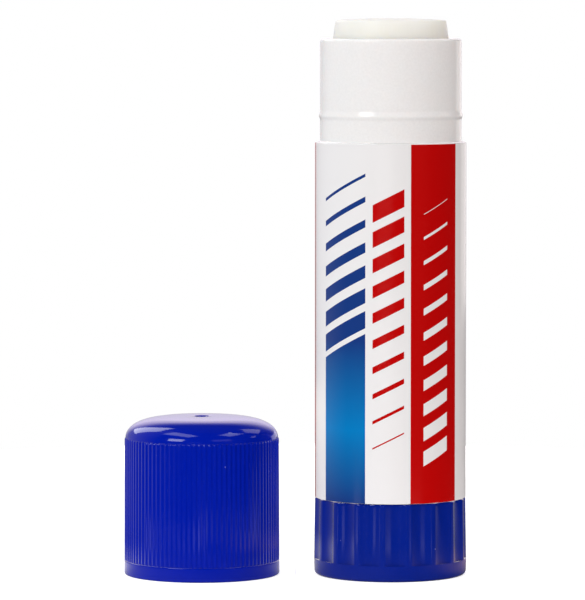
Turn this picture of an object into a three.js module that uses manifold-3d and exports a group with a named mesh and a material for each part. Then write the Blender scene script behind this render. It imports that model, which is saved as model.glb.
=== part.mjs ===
// A twist-up glue stick with its cap off, standing on a table: millimetres, +Z up.
// The origin lies on the table, in the middle of the pair's box. The stick stands at +X and the cap at -X.
// Turning the knob turns the spindle, whose left-hand thread winds the carrier and the glue up the barrel.
import * as THREE from "three";
import { mergeVertices } from "three/addons/utils/BufferGeometryUtils.js";
import Module from "manifold-3d";

const wasm = await Module();
wasm.setup();

// Gaps between the pieces
const runningGap = 0.3; // between pieces that turn or slide on each other
const ledgeGap = 0.13; // between the knob's top edge and the barrel that it turns against
const seatGap = 0.12; // between pieces that are pressed together
const filmGap = 0.04; // the adhesive under the label

// Knob, the fluted turning base
const knobAngle = (3.1 * Math.PI) / 180; // how far round the knob happens to stand
const footHeight = 2.6;
const footRound = 0.6;
const footRimWidth = 2.2;
const footRecessDepth = 0.5;
const gripHeight = 9.6;
const gripDraft = 0.14; // how much wider the grip is at the foot than at the label
const knobFloor = 1.6;
const knobEdge = 0.2;
const fluteCount = 18;
const fluteDepth = 0.5;
const fluteLand = 0.8;
const hubWall = 1.5;
const knobWebCount = 6;
const knobWebThickness = 1.0;
const knobWebDrop = 3.0; // how far the webs stay under the knob's top edge
const collarWall = 0.6; // the collar that laps inside the barrel's lower end

// Barrel, with the neck that the cap closes on
const boreRadius = 9.8;
const barrelLength = 56.5;
const shoulderStep = 0.64; // from the neck out to the barrel
const shoulderRound = 0.2;
const lowerEndEdge = 0.05;
const labelFilm = 0.12;
const labelMargin = 0.15; // bare barrel above the label
const labelSeam = 0.5; // gap between the label's two ends, at the back
const neckWall = 1.4;
const neckHeight = 16.3;
const neckRound = 0.45;
const neckFillet = 0.2;
const beadHeight = 4.05; // the snap bead's middle, above the shoulder
const beadWidth = 1.5;
const beadStand = 0.19;
const boreChamfer = 0.25;
const webRise = 1.0; // the barrel's inner web, above its lower end
const webThickness = 1.4;
const lowerEndWall = 1.1;
const keyCount = 4;
const keyWidth = 1.2;
const keyHeight = 0.45;
const keyTopDrop = 5.0; // how far the keys stay under the neck's rim

// Spindle, the lead screw
const threadLead = 5.0;
const threadCoreRadius = 2.3;
const threadDepth = 0.8;
const threadRootWidth = 1.9;
const threadCrestWidth = 0.9;
const spindleTipDrop = 5.3; // the tip, under the neck's rim
const spindleTipChamfer = 0.8;
const journalRadius = 3.9;
const flangeStand = 1.5; // how far the flange stands out from the journal
const flangeThickness = 1.2;
const plugStep = 0.5; // from the journal in to the corners of the hexagonal plug
const plugRise = 3.3; // the plug's lower end, above the knob's floor

// Carrier, the piston that holds the glue
const carrierHeight = 9.0;
const carrierFloorRise = 1.6;
const carrierFloor = 1.2;
const carrierWall = 1.1;
const nutWall = 1.35;
const nutRadialGap = 0.25;
const finCount = 4;
const finThickness = 0.9;
const finHeight = 3.2;
const woundUp = 4.5; // how far the carrier stands above its lower stop, as the glue is shown

// Glue
const glueProud = 3.2; // the tip, above the neck's rim
const glueTipSetIn = 0.66; // how much narrower the tip is than the column
const glueTaperLength = 4.4;
const glueEdgeRound = 0.35;
const glueCrown = 0.3;
const glueOverSpindle = 0.8; // free bore above the spindle's tip, with the carrier at its lower stop

// Cap
const capGapToStick = 5.5;
const capHeadroom = 7.2; // inside the closed cap, above the neck's rim
const capFit = 0.05; // between the neck's bead and the cap
const capWall = 0.92;
const capRoof = 1.2;
const capBandHeight = 2.3;
const capBandEdge = 0.3;
const capDomeHeight = 3.1;
const capDomeWidth = 4.2;
const capCrown = 0.5;
const capRibCount = 96;
const capRibDepth = 0.22;
const dimpleRadius = 1.4;
const dimpleDepth = 0.45;
const snapRidgeStand = 0.15;
const snapRidgeWidth = 1.0;
const sealWall = 0.7; // the skirt inside the roof that closes on the neck's rim

// How finely round shapes are cut into flats
const outerSides = 64;
const innerSides = 48;
const smallSides = 24;
const threadSides = 16;
const knobSides = 4 * fluteCount;
const fluteSides = 36;
const archSteps = 4;

const overcut = 1; // how far a cutting shape reaches past what it cuts

// Sizes worked out from the ones above, up from the table
const neckRadius = boreRadius + neckWall;
const barrelRadius = neckRadius + shoulderStep;
const labelRadius = barrelRadius + filmGap + labelFilm;
const lowerEndInside = barrelRadius - lowerEndWall;
const gripTopRadius = labelRadius;
const footRadius = gripTopRadius + gripDraft;
const collarRadius = lowerEndInside - runningGap;
const knobInside = collarRadius - collarWall;
const knobHeight = footHeight + gripHeight;
const barrelBottom = knobHeight + ledgeGap;
const shoulder = barrelBottom + barrelLength;
const neckTop = shoulder + neckHeight;
const webBottom = barrelBottom + webRise;
const webTop = webBottom + webThickness;
const hubTop = webBottom - runningGap;
const knobFloorTop = footRecessDepth + knobFloor;
const plugBottom = knobFloorTop + plugRise;
const plugRadius = journalRadius - plugStep;
const hubRadius = plugRadius + seatGap + hubWall;
const threadCrestRadius = threadCoreRadius + threadDepth;
const flangeRadius = journalRadius + flangeStand;
const flangeBottom = webTop + runningGap;
const flangeTop = flangeBottom + flangeThickness;
const spindleTip = neckTop - spindleTipDrop;
const carrierBottom = flangeTop + runningGap + woundUp;
const carrierTop = carrierBottom + carrierHeight;
const carrierRadius = boreRadius - runningGap;
const carrierFloorBottom = carrierBottom + carrierFloorRise;
const carrierFloorTop = carrierFloorBottom + carrierFloor;
const carrierInside = carrierRadius - carrierWall;
const nutBoreRadius = threadCrestRadius + nutRadialGap;
const nutRadius = nutBoreRadius + nutWall;
const keyInnerRadius = boreRadius - keyHeight;
const keyTop = neckTop - keyTopDrop;
const glueTop = neckTop + glueProud;
const glueTipRadius = carrierRadius - glueTipSetIn;
const capInside = neckRadius + beadStand + capFit;
const capRadius = capInside + capWall;
const capHeight = neckHeight + capHeadroom + capRoof + capCrown;
const pairSpacing = footRadius + capGapToStick + capRadius;
const capX = (capRadius - footRadius - pairSpacing) / 2;
const stickX = capX + pairSpacing;

// A geometry's solid, for cutting and joining.
function solidOf(geometry) {
  const bare = geometry.clone();
  bare.deleteAttribute("normal");
  bare.deleteAttribute("uv");
  const merged = mergeVertices(bare, 1e-4);
  return new wasm.Manifold(
    new wasm.Mesh({
      numProp: 3,
      vertProperties: new Float32Array(merged.attributes.position.array),
      triVerts: new Uint32Array(merged.index.array),
    }),
  );
}

// A solid's geometry, for a mesh.
function geometryOf(solid) {
  const mesh = solid.getMesh();
  const geometry = new THREE.BufferGeometry();
  geometry.setAttribute("position", new THREE.BufferAttribute(new Float32Array(mesh.vertProperties), 3));
  geometry.setIndex(new THREE.BufferAttribute(new Uint32Array(mesh.triVerts), 1));
  geometry.computeVertexNormals();
  return geometry;
}

// A solid turned about Z from [radius, height] points that run upwards along its outside.
function turned(profile, sides) {
  const points = profile.map(([radius, height]) => new THREE.Vector2(radius, height));
  return solidOf(new THREE.LatheGeometry(points, sides).rotateX(Math.PI / 2));
}

// A solid extruded upwards from an outline, between two heights.
function extruded(shape, bottom, top) {
  const geometry = new THREE.ExtrudeGeometry(shape, { depth: top - bottom, bevelEnabled: false });
  return solidOf(geometry.translate(0, 0, bottom));
}

function cylinder(radius, bottom, top, sides) {
  return turned([[0, bottom], [radius, bottom], [radius, top], [0, top]], sides);
}

// A box that reaches outwards from one radius to another, centred on the X axis and turned by an angle.
function radialBar(innerRadius, outerRadius, width, bottom, top, angle) {
  const geometry = new THREE.BoxGeometry(outerRadius - innerRadius, width, top - bottom);
  geometry.translate((innerRadius + outerRadius) / 2, 0, (bottom + top) / 2);
  return solidOf(geometry.rotateZ(angle));
}

// Copies of a bar, spaced evenly round the axis and joined into one solid.
function barsAround(count, innerRadius, outerRadius, width, bottom, top) {
  const bars = Array.from({ length: count }, (_, i) =>
    radialBar(innerRadius, outerRadius, width, bottom, top, (i * 2 * Math.PI) / count),
  );
  return wasm.Manifold.union(bars);
}

// Points on a quarter of an ellipse, from the angle where it starts to the angle where it ends.
function arch(centreRadius, centreHeight, halfWidth, halfHeight, from, to, steps = archSteps) {
  return Array.from({ length: steps + 1 }, (_, i) => {
    const angle = from + ((to - from) * i) / steps;
    return [centreRadius + halfWidth * Math.cos(angle), centreHeight + halfHeight * Math.sin(angle)];
  });
}

// An outline from [radius, angle] points.
function polarShape(points) {
  return new THREE.Shape(
    points.map(([radius, angle]) => new THREE.Vector2(radius * Math.cos(angle), radius * Math.sin(angle))),
  );
}

// A ring that cuts the grooves between the cap's ribs: its inside is a zigzag of crests and grooves.
function ribCutter(bottom, top) {
  const zigzag = Array.from({ length: 2 * capRibCount }, (_, i) => [
    i % 2 ? capRadius - capRibDepth : capRadius,
    (i * Math.PI) / capRibCount,
  ]);
  const ring = new THREE.Shape().absarc(0, 0, capRadius + overcut, 0, 2 * Math.PI);
  ring.holes.push(polarShape(zigzag));
  return extruded(ring, bottom, top);
}

// Round bars that hollow the flutes into the knob's grip and leave the lands between them.
function fluteCutters() {
  const pitch = (2 * Math.PI) / fluteCount;
  const fluteWidth = pitch * gripTopRadius - fluteLand;
  const barRadius = (fluteWidth ** 2 / 4 + fluteDepth ** 2) / (2 * fluteDepth);
  const barDistance = gripTopRadius - fluteDepth + barRadius;
  const barLength = gripHeight + overcut;
  const bars = Array.from({ length: fluteCount }, (_, i) => {
    const geometry = new THREE.CylinderGeometry(barRadius, barRadius, barLength, fluteSides);
    geometry.rotateX(Math.PI / 2).translate(barDistance, 0, footHeight + barLength / 2);
    return solidOf(geometry.rotateZ((i + 0.5) * pitch));
  });
  return wasm.Manifold.union(bars);
}

// A left-hand thread on a core, as one closed skin: a ridge of four points winds up the core, and the strip
// between two of its turns is the core itself. Its ends are ragged and are meant to be trimmed.
function threadedCore(coreRadius, crestRadius, rootWidth, crestWidth, bottom, top) {
  const turns = Math.ceil((top - bottom) / threadLead) + 2;
  const start = (Math.floor(bottom / threadLead) - 1) * threadLead;
  const last = turns * threadSides;
  const ridge = [
    [coreRadius, -rootWidth / 2],
    [crestRadius, -crestWidth / 2],
    [crestRadius, crestWidth / 2],
    [coreRadius, rootWidth / 2],
  ];
  const positions = [];
  for (let step = 0; step <= last; step++) {
    const angle = (-step * 2 * Math.PI) / threadSides;
    const height = start + (step * threadLead) / threadSides;
    for (const [radius, offset] of ridge) {
      positions.push(radius * Math.cos(angle), radius * Math.sin(angle), height + offset);
    }
  }
  const corner = (step, point) => 4 * step + point;
  const lowerCentre = positions.length / 3;
  const upperCentre = lowerCentre + 1;
  positions.push(0, 0, start + (threadLead - rootWidth) / 2);
  positions.push(0, 0, start + (turns - 1) * threadLead + (threadLead + rootWidth) / 2);
  const faces = [];
  const quad = (a, b, c, d) => faces.push(a, b, c, a, c, d);
  for (let step = 0; step < last; step++) {
    for (let point = 0; point < 3; point++) {
      quad(corner(step, point), corner(step, point + 1), corner(step + 1, point + 1), corner(step + 1, point));
    }
  }
  for (let step = 0; step < last - threadSides; step++) {
    const above = step + threadSides;
    quad(corner(step, 3), corner(above, 0), corner(above + 1, 0), corner(step + 1, 3));
  }
  for (let step = 0; step < threadSides; step++) {
    faces.push(lowerCentre, corner(step, 0), corner(step + 1, 0));
    faces.push(upperCentre, corner(last - step, 3), corner(last - step - 1, 3));
  }
  for (let point = 0; point < 3; point++) {
    faces.push(lowerCentre, corner(0, point + 1), corner(0, point));
    faces.push(upperCentre, corner(last, point), corner(last, point + 1));
  }
  faces.push(lowerCentre, corner(threadSides, 0), corner(0, 3));
  faces.push(upperCentre, corner(last - threadSides, 3), corner(last, 0));
  const geometry = new THREE.BufferGeometry();
  geometry.setAttribute("position", new THREE.Float32BufferAttribute(positions, 3));
  geometry.setIndex(faces);
  return geometry;
}

// A hexagonal prism on the axis.
function hexagon(cornerRadius, bottom, top) {
  return cylinder(cornerRadius, bottom, top, 6);
}

// Knob: a cup that closes the stick from below, with flutes for the fingers, a foot ring to stand on, and a
// hub with a hexagonal socket that the spindle is pressed into.
function knobSolid() {
  const rimInside = footRadius - footRound - footRimWidth;
  const outside = turned(
    [
      [0, footRecessDepth],
      [rimInside - footRecessDepth, footRecessDepth],
      [rimInside, 0],
      ...arch(footRadius - footRound, footRound, footRound, footRound, -Math.PI / 2, 0, 3),
      [footRadius, footHeight],
      [gripTopRadius, knobHeight - knobEdge],
      [gripTopRadius - knobEdge, knobHeight],
      [collarRadius, knobHeight],
      [collarRadius, hubTop],
      [0, hubTop],
    ],
    knobSides,
  );
  const hub = cylinder(hubRadius, 0, hubTop, smallSides);
  const webs = barsAround(
    knobWebCount,
    hubRadius - hubWall / 2,
    knobInside + collarWall / 2,
    knobWebThickness,
    knobFloorTop - knobFloor / 2,
    knobHeight - knobWebDrop,
  );
  const cup = cylinder(knobInside, knobFloorTop, hubTop + overcut, innerSides);
  const socket = hexagon(plugRadius + seatGap, plugBottom - seatGap, hubTop + overcut);
  return outside.subtract(cup.subtract(hub.add(webs))).subtract(fluteCutters()).subtract(socket);
}

// Spindle: a hexagonal plug in the knob's hub, a journal through the barrel's web, a flange that stops it
// from being pulled back out, and the thread.
function spindleSolid() {
  const root = turned(
    [
      [0, hubTop + seatGap],
      [journalRadius, hubTop + seatGap],
      [journalRadius, flangeBottom],
      [flangeRadius, flangeBottom],
      [flangeRadius, flangeTop],
      [0, flangeTop],
    ],
    smallSides,
  );
  const plug = hexagon(plugRadius, plugBottom, (hubTop + flangeTop) / 2);
  const thread = solidOf(
    threadedCore(
      threadCoreRadius,
      threadCrestRadius,
      threadRootWidth,
      threadCrestWidth,
      flangeBottom,
      spindleTip,
    ),
  );
  const trim = turned(
    [
      [0, (flangeBottom + flangeTop) / 2],
      [threadCrestRadius + overcut, (flangeBottom + flangeTop) / 2],
      [threadCrestRadius + overcut, spindleTip - spindleTipChamfer - overcut],
      [threadCoreRadius - spindleTipChamfer / 2, spindleTip],
      [0, spindleTip],
    ],
    smallSides,
  );
  return root.add(plug).add(thread.intersect(trim));
}

// The four keyways that let a sliding piece pass the barrel's keys.
function keyways(bottom, top) {
  return barsAround(
    keyCount,
    keyInnerRadius - runningGap,
    boreRadius + overcut,
    keyWidth + 2 * runningGap,
    bottom,
    top,
  );
}

// Barrel: a tube with a narrower neck and its snap bead, and a web near its lower end that carries the spindle.
function barrelSolid() {
  const bead = shoulder + beadHeight;
  const outside = turned(
    [
      [0, barrelBottom],
      [barrelRadius - lowerEndEdge, barrelBottom],
      [barrelRadius, barrelBottom + lowerEndEdge],
      ...arch(barrelRadius - shoulderRound, shoulder - shoulderRound, shoulderRound, shoulderRound, 0, Math.PI / 2, 3),
      [neckRadius + neckFillet, shoulder],
      [neckRadius, shoulder + neckFillet],
      [neckRadius, bead - beadWidth / 2],
      [neckRadius + beadStand, bead - beadWidth / 4],
      [neckRadius + beadStand, bead + beadWidth / 4],
      [neckRadius, bead + beadWidth / 2],
      ...arch(neckRadius - neckRound, neckTop - neckRound, neckRound, neckRound, 0, Math.PI / 2, 3),
      [0, neckTop],
    ],
    outerSides,
  );
  const bore = cylinder(boreRadius, webTop, neckTop + overcut, outerSides);
  const keys = barsAround(keyCount, keyInnerRadius, boreRadius + keyHeight, keyWidth, webTop - webThickness / 2, keyTop);
  const rimChamfer = turned(
    [
      [0, neckTop - boreChamfer],
      [boreRadius, neckTop - boreChamfer],
      [boreRadius + 2 * boreChamfer, neckTop + boreChamfer],
      [0, neckTop + boreChamfer],
    ],
    outerSides,
  );
  const lowerRecess = cylinder(lowerEndInside, barrelBottom - overcut, webBottom, outerSides);
  const hole = cylinder(journalRadius + runningGap, barrelBottom, webTop + overcut, smallSides);
  return outside.subtract(bore.subtract(keys)).subtract(rimChamfer).subtract(lowerRecess).subtract(hole);
}

// Label: a printed film wrapped once round the barrel, with its two ends meeting at the back.
function labelSolid() {
  const inside = labelRadius - labelFilm;
  const halfSeam = labelSeam / labelRadius / 2;
  const back = Math.PI / 2;
  const start = back + halfSeam;
  const end = back - halfSeam + 2 * Math.PI;
  const angles = Array.from({ length: outerSides + 1 }, (_, i) => start + ((end - start) * i) / outerSides);
  const outline = [
    ...angles.map((angle) => [labelRadius, angle]),
    ...angles.toReversed().map((angle) => [inside, angle]),
  ];
  return extruded(polarShape(outline), barrelBottom + lowerEndEdge, shoulder - labelMargin);
}

// Carrier: a cup that slides in the bore without turning, with a nut in its middle that rides on the spindle
// and fins that key the glue.
function carrierSolid() {
  const body = turned(
    [
      [0, carrierFloorBottom],
      [carrierInside, carrierFloorBottom],
      [carrierInside, carrierBottom],
      [carrierRadius, carrierBottom],
      [carrierRadius, carrierTop],
      [carrierInside, carrierTop],
      [carrierInside, carrierFloorTop],
      [0, carrierFloorTop],
    ],
    innerSides,
  );
  const nut = cylinder(nutRadius, carrierBottom, carrierTop, smallSides);
  const fins = barsAround(
    finCount,
    nutBoreRadius + nutWall / 2,
    carrierInside + carrierWall / 4,
    finThickness,
    carrierFloorBottom + carrierFloor / 2,
    carrierFloorTop + finHeight,
  );
  const nutThread = threadedCore(
    threadCoreRadius + nutRadialGap,
    nutBoreRadius,
    threadRootWidth + 2 * runningGap,
    threadCrestWidth + 2 * runningGap,
    carrierBottom,
    carrierTop,
  );
  return body
    .add(nut)
    .add(fins)
    .subtract(solidOf(nutThread.rotateZ(knobAngle)))
    .subtract(keyways(carrierBottom - overcut, carrierTop + overcut));
}

// Glue: a cast column that fills the bore, hollow round the nut and the spindle, with a tapered, crowned tip.
function glueSolid() {
  const tipEdge = glueTop - glueCrown - glueEdgeRound;
  const body = turned(
    [
      [0, carrierFloorTop + runningGap],
      [carrierInside - runningGap, carrierFloorTop + runningGap],
      [carrierInside - runningGap, carrierTop + runningGap],
      [carrierRadius, carrierTop + runningGap],
      [carrierRadius, tipEdge - glueTaperLength],
      ...arch(glueTipRadius - glueEdgeRound, tipEdge, glueEdgeRound, glueEdgeRound, 0, Math.PI / 2, 3),
      ...[0.6, 0.3, 0].map((share) => [glueTipRadius * share, glueTop - glueCrown * share ** 2]),
    ],
    innerSides,
  );
  const hollow = turned(
    [
      [0, carrierFloorTop],
      [nutRadius + runningGap, carrierFloorTop],
      [nutRadius + runningGap, carrierTop + runningGap],
      [threadCrestRadius + runningGap, carrierTop + runningGap],
      [threadCrestRadius + runningGap, spindleTip + woundUp + glueOverSpindle],
      [0, spindleTip + woundUp + glueOverSpindle],
    ],
    smallSides,
  );
  const finSlots = barsAround(
    finCount,
    nutRadius,
    carrierInside,
    finThickness + 2 * runningGap,
    carrierFloorTop,
    carrierFloorTop + finHeight + runningGap,
  );
  const grooves = keyways(carrierTop, keyTop + woundUp + runningGap);
  return body.subtract(hollow).subtract(finSlots).subtract(grooves);
}

// Cap: a thin ribbed cup that stands on its mouth, with a domed roof, an injection dimple, a ridge that snaps
// under the neck's bead, and a sealing skirt that closes on the neck's rim.
function capSolid() {
  const domeBase = capHeight - capCrown - capDomeHeight;
  const flatRadius = capRadius - capDomeWidth;
  const outside = turned(
    [
      [0, 0],
      [capRadius - capBandEdge, 0],
      [capRadius, capBandEdge],
      [capRadius, capBandHeight],
      ...arch(flatRadius, domeBase, capDomeWidth, capDomeHeight, 0, Math.PI / 2, 5),
      [flatRadius * 0.5, capHeight - capCrown * 0.25],
      [0, capHeight],
    ],
    capRibCount,
  );
  const dimple = turned(
    [
      [0, capHeight - dimpleDepth],
      [dimpleRadius * 0.5, capHeight - dimpleDepth * 0.75],
      [dimpleRadius, capHeight],
      [dimpleRadius, capHeight + overcut],
      [0, capHeight + overcut],
    ],
    smallSides,
  );
  const ridge = beadHeight - beadWidth / 2 - snapRidgeWidth / 2;
  const ridgeInside = capInside - snapRidgeStand;
  const roofInside = capHeight - capCrown - capRoof;
  const hollow = turned(
    [
      [0, -overcut],
      [capInside + capBandEdge + overcut, -overcut],
      [capInside, capBandEdge],
      [capInside, ridge - snapRidgeWidth / 2],
      [ridgeInside, ridge - snapRidgeWidth / 4],
      [ridgeInside, ridge + snapRidgeWidth / 4],
      [capInside, ridge + snapRidgeWidth / 2],
      ...arch(flatRadius, domeBase, capInside - flatRadius, roofInside - domeBase, 0, Math.PI / 2),
      [0, roofInside],
    ],
    innerSides,
  );
  const sealMiddle = (boreRadius + neckRadius) / 2;
  const sealTip = neckHeight + seatGap;
  const seal = turned(
    [
      [sealMiddle - sealWall / 2, sealTip + sealWall / 2],
      [sealMiddle, sealTip],
      [sealMiddle + sealWall / 2, sealTip + sealWall / 2],
      [sealMiddle + sealWall / 2, roofInside],
      [sealMiddle - sealWall / 2, roofInside],
      [sealMiddle - sealWall / 2, sealTip + sealWall / 2],
    ],
    innerSides,
  );
  return outside.subtract(ribCutter(capBandHeight, domeBase)).subtract(dimple).subtract(hollow).add(seal);
}

function plastic(colour, roughness) {
  return new THREE.MeshStandardMaterial({ color: colour, roughness, metalness: 0 });
}

const bluePlastic = plastic(0x0a1ea0, 0.25);
const whitePlastic = plastic(0xebe9ea, 0.35);
const naturalPlastic = plastic(0xe4e2dc, 0.45);
const printedFilm = plastic(0xf1f0f1, 0.2);
const glueMass = plastic(0xedebe4, 0.5);

function piece(name, solid, material) {
  const mesh = new THREE.Mesh(geometryOf(solid), material);
  mesh.name = name;
  return mesh;
}

// The knob and the spindle stand turned a little about the stick's axis.
const turningPieces = new THREE.Group();
turningPieces.rotation.z = knobAngle;
turningPieces.add(
  piece("knob", knobSolid(), bluePlastic),
  piece("spindle", spindleSolid(), naturalPlastic),
);

const stick = new THREE.Group();
stick.position.x = stickX;
stick.add(
  turningPieces,
  piece("barrel", barrelSolid(), whitePlastic),
  piece("label", labelSolid(), printedFilm),
  piece("carrier", carrierSolid(), naturalPlastic),
  piece("glue", glueSolid(), glueMass),
);

const cap = piece("cap", capSolid(), bluePlastic);
cap.position.x = capX;

const glueStick = new THREE.Group();
glueStick.add(stick, cap);

export default glueStick;
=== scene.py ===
"""Models and finishes a twist-up glue stick that stands on its fluted knob, with its ribbed cap beside it."""
import math

import bpy
import numpy as np
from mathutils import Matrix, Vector


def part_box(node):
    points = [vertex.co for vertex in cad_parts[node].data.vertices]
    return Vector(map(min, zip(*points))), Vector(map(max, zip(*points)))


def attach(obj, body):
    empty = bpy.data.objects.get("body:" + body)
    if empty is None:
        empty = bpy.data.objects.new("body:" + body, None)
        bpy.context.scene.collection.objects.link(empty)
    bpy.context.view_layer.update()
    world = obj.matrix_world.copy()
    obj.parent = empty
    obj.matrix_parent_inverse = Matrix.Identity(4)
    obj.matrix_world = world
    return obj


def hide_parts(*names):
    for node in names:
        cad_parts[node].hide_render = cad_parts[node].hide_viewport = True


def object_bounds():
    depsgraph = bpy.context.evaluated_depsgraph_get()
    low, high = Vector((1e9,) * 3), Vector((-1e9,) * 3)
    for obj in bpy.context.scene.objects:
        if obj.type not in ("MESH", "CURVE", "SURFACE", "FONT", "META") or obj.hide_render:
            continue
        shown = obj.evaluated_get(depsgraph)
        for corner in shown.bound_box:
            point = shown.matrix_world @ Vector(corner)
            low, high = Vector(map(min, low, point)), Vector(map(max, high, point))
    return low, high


bl_info = {
    "name": "Glue Stick",
    "version": (1, 0, 0),
    "blender": (4, 5, 0),
    "location": "View3D > Sidebar > Glue Stick",
    "description": "Models and finishes a twist-up glue stick with its cap beside it",
    "category": "Add Mesh",
}

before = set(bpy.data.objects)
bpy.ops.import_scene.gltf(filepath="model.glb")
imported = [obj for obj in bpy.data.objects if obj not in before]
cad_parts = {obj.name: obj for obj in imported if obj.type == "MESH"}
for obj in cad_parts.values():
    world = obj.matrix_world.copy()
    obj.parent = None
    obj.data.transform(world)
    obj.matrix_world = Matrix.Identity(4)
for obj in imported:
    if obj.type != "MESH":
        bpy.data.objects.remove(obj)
cad_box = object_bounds()

MM = 0.001
FRAME_WIDTH = 585  # the photograph's frame, in pixels
FRAME_HEIGHT = 600
FLOOR_RADIUS = 0.13
FLOOR_BACK = 0.08  # how far the floor's middle lies behind the object's
AMBIENT = 0.45  # how bright the room is that lights the object from all round, where 1 is white
# The next four place the floor's painted reflection: painted light close to the cap and the stick, painted
# shade in front.
ACROSS_REACH = 60 * MM  # how far from the object's middle the tables of the floor's gloss reach
NEAR_START = 22 * MM  # how far from the cap's and the stick's axes the floor close to them starts to fade
NEAR_END = 50 * MM  # and where it has faded
NEAR_LEAD = 3.0  # how much earlier in its table the floor lights up, for each metre to the right

# Each softbox: name, direction in degrees to the right of the camera and up, distance, width and height in
# metres, how brightly it lights a white surface that faces it, where 1 is white, its tint, and whether
# gloss mirrors it.
SOFTBOXES = [
    ("key_left", -42, 26, 0.9, 0.36, 0.3, 0.25, "ffffff", True),
    ("fill_front", -10, 5, 1.0, 0.4, 0.4, 0.33, "fffdfb", False),
    ("fill_right", 45, 5, 0.9, 0.4, 0.4, 0.07, "ffd0b8", False),
    ("side_left", -105, 5, 0.9, 0.4, 0.4, 0.1, "ffffff", False),
    ("side_right", 115, 5, 0.9, 0.4, 0.4, 0.05, "ffeadf", False),
    ("window_front", 33, 26, 0.9, 0.45, 0.25, 0.022, "fff0ea", True),
    ("window_right", 101, 24, 0.9, 0.3, 0.25, 0.044, "fff0ea", True),
    ("rim_right", 147, 2, 0.9, 0.5, 0.19, 0.035, "fff8f6", True),
    ("back_left", -141, 36, 0.8, 0.3, 0.5, 0.22, "ffffff", True),
    ("over_left", -63, 66, 0.7, 0.5, 0.2, 0.14, "ffffff", True),
    ("over_right", 78, 62, 0.7, 0.26, 0.2, 0.07, "ffffff", True),
    ("over_far_right", 108, 60, 0.7, 0.1, 0.2, 0.03, "ffffff", True),
    ("back_right", 133, 44, 0.8, 0.3, 0.25, 0.05, "fff2ee", True),
    ("streak_left", -47, -21.1, 0.15, 0.03, 0.012, 0.006, "ffffff", True),
    ("streak_right", 41, -21.1, 0.15, 0.04, 0.012, 0.005, "ffffff", True),
]
CARD_GLOW = 0.45  # how bright the two cards between the cap and the stick are, where 1 is white
CARD_WIDTH = 0.03
CARD_HEIGHT = 0.03

# The backdrop as gloss sees it, from below the horizon up: how far up, where 0.5 is level, and its shade.
BACKDROP = [
    (0.42, (0.15, 0.14, 0.15, 1)),
    (0.47, (0.3, 0.28, 0.3, 1)),
    (0.495, (0.8, 0.74, 0.78, 1)),
    (0.53, (0.95, 0.88, 0.95, 1)),
    (0.56, (1.15, 1.05, 1.15, 1)),
    (0.62, (1.7, 1.5, 1.6, 1)),
    (0.7, (1.4, 1.2, 1.3, 1)),
    (0.77, (0.3, 0.27, 0.32, 1)),
    (0.82, (0.04, 0.04, 0.04, 1)),
]

# The floor's painted reflection, which only gloss sees: how far back a place is, from 0 in front of the
# object's middle to 1 behind it, and the painted light and shade it glows with there. The first holds away
# from the object, the second close to it, as a painted pool of light.
FLOOR_PAINTED_FAR = [
    (0.15, (0.05, 0.05, 0.06, 1)),
    (0.5, (0.1, 0.1, 0.11, 1)),
    (1.0, (0.25, 0.24, 0.25, 1)),
]
FLOOR_PAINTED_NEAR = [
    (0.28, (0.09, 0.09, 0.1, 1)),
    (0.39, (0.27, 0.26, 0.28, 1)),
    (0.48, (0.5, 0.48, 0.51, 1)),
    (0.56, (1.0, 0.96, 1.0, 1)),
]
# The painted tint of the floor's glow close to the object, from 0 at its left to 1 at its right, with a
# painted dark band and a painted reddish reflection at the right.
FLOOR_PAINTED_TINT = [
    (0.25, (1.0, 1.0, 1.0, 1)),
    (0.43, (0.55, 0.55, 0.57, 1)),
    (0.57, (0.5, 0.5, 0.52, 1)),
    (0.66, (0.15, 0.15, 0.16, 1)),
    (0.73, (0.15, 0.15, 0.16, 1)),
    (0.79, (0.62, 0.43, 0.45, 1)),
]


def half_width(node):
    """How far a CAD node reaches from its axis, along X."""
    low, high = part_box(node)
    return (high.x - low.x) / 2


def axis_of(node):
    """Where a CAD node's upright axis stands, along X."""
    low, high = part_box(node)
    return (high.x + low.x) / 2


CAP_X = axis_of("cap")
STICK_X = axis_of("barrel")
CAP_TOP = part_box("cap")[1].z
KNOB_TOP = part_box("barrel")[0].z - 0.05 * MM  # a hair under the barrel that the knob turns against
COLLAR_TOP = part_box("knob")[1].z
BARREL_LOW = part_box("barrel")[0].z
NECK_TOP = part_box("barrel")[1].z
LABEL_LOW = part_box("label")[0].z
LABEL_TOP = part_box("label")[1].z
SHOULDER = LABEL_TOP + 0.15 * MM  # a bare margin above the label
GLUE_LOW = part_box("glue")[0].z
GLUE_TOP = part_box("glue")[1].z
SPINDLE_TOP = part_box("spindle")[1].z
KEY_COUNT = 4  # the keys in the bore, which run in the grooves of the glue
KEY_HEIGHT = 0.45 * MM
BORE_STEPS = 180  # how many flats the barrel and the glue have round them


def linear(hex_colour):
    """The linear colour, with its alpha, of an sRGB hex value such as "1c2f9a"."""
    channels = [int(hex_colour[i : i + 2], 16) / 255 for i in (0, 2, 4)]
    return (*[c / 12.92 if c <= 0.04045 else ((c + 0.055) / 1.055) ** 2.4 for c in channels], 1.0)


def length(name, description, default):
    """A length that the user can change, in metres."""
    return bpy.props.FloatProperty(
        name=name, description=description, default=default, min=0.0, precision=5, unit="LENGTH"
    )


def count(name, description, default):
    """A whole number that the user can change."""
    return bpy.props.IntProperty(name=name, description=description, default=default, min=1)


def colour(name, description, default):
    """A colour that the user can change, with its default as an sRGB hex value."""
    return bpy.props.FloatVectorProperty(
        name=name, description=description, default=linear(default), size=4, min=0.0, max=1.0, subtype="COLOR"
    )


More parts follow.
